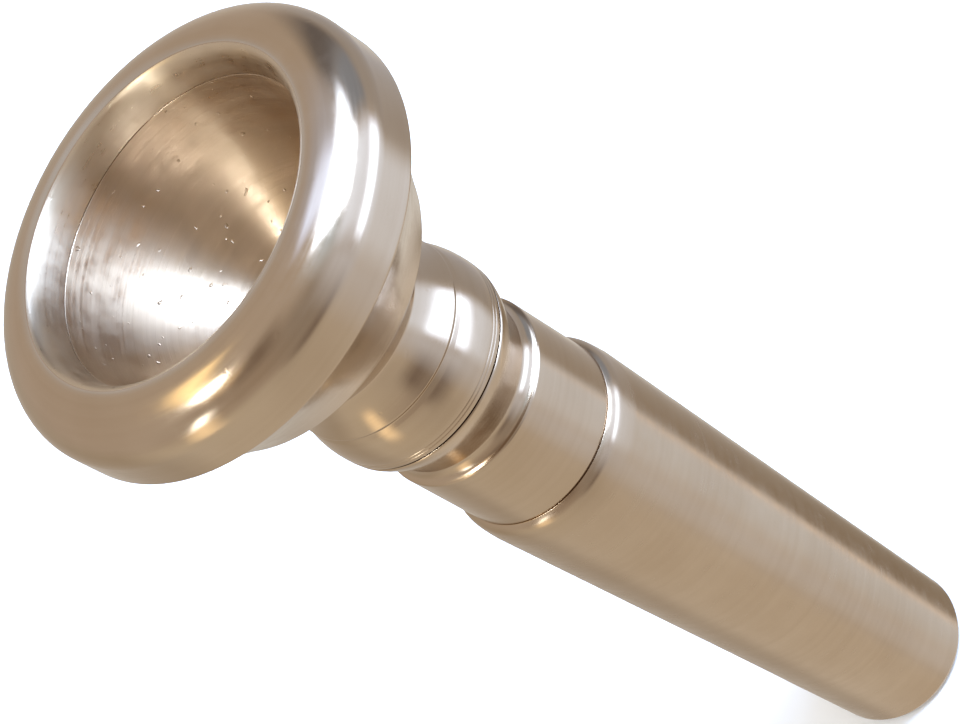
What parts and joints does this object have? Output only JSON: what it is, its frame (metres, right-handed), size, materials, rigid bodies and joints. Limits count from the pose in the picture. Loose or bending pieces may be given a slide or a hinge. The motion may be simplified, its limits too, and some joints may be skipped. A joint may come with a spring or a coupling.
{
  "type": "brass instrument mouthpiece",
  "caption": "Bowl-cup brass mouthpiece with screw rim, threaded cup, backbore tube and tapered shank sleeve.",
  "frame": {"origin": "centre of the shank's small end face, on the bore's axis", "axes": "+Z along the bore from the small end to the rim; +X and +Y are any two directions across it"},
  "size_m": [0.0268, 0.0268, 0.0729],
  "materials": {
    "rim_polished_brass": "mirror polished, pale",
    "cup_turned_brass": "fine turned, polished",
    "tube_polished_brass": "polished",
    "sleeve_satin_brass": "satin polished",
    "seal_rubber": "matt"
  },
  "bodies": {
    "shank": {"backbore_tube": "tube_polished_brass", "taper_sleeve": "sleeve_satin_brass"},
    "neck_seal": {"neck_seal": "seal_rubber"},
    "cup": {"cup_body": "cup_turned_brass"},
    "rim_seal": {"rim_seal": "seal_rubber"},
    "rim": {"rim_ring": "rim_polished_brass"}
  },
  "joints": [
    {"name": "neck_lift", "type": "slide", "parent": "shank", "child": "neck_seal", "axis": [0, 0, 1], "range_m": [0, 0.005]},
    {"name": "cup_screw", "type": "hinge", "parent": "neck_seal", "child": "cup", "pos_m": [0, 0, 0.05], "axis": [0, 0, 1], "range_deg": [0, 1800]},
    {"name": "rim_lift", "type": "slide", "parent": "cup", "child": "rim_seal", "axis": [0, 0, 1], "range_m": [0, 0.00225]},
    {"name": "rim_screw", "type": "hinge", "parent": "rim_seal", "child": "rim", "pos_m": [0, 0, 0.069], "axis": [0, 0, 1], "range_deg": [0, 1080]}
  ],
  "couplings": [
    {"joint": "cup_screw", "follows": "neck_lift", "rad_per_m": 6283.2},
    {"joint": "rim_screw", "follows": "rim_lift", "rad_per_m": 8377.6}
  ]
}
